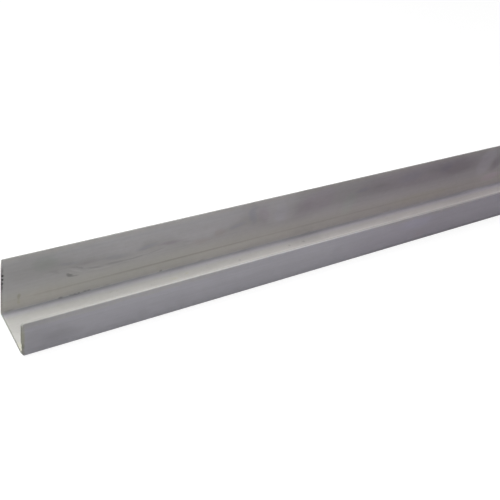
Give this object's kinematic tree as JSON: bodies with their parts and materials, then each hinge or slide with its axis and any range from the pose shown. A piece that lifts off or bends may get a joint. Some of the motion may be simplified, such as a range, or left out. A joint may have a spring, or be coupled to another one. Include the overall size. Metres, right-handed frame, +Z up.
{
  "type": "drywall edge trim",
  "caption": "Long J-shaped plastic strip that caps the cut edge of a gypsum board, with a tall back leg, a web and a short front leg.",
  "frame": {"origin": "under the middle of the strip, halfway between its ends and between the outer faces of its two legs, on the surface that it lies on", "axes": "+X along the strip, +Y from the short front leg to the tall back leg, +Z up, out of the open side of the channel"},
  "size_m": [2.438, 0.0182, 0.023],
  "materials": {
    "pvc": "extruded rigid PVC in a pale neutral grey, semi-matt, with faint clouding and dust in the corner of the channel"
  },
  "bodies": {
    "root": {"edge_trim": "pvc"}
  },
  "joints": []
}
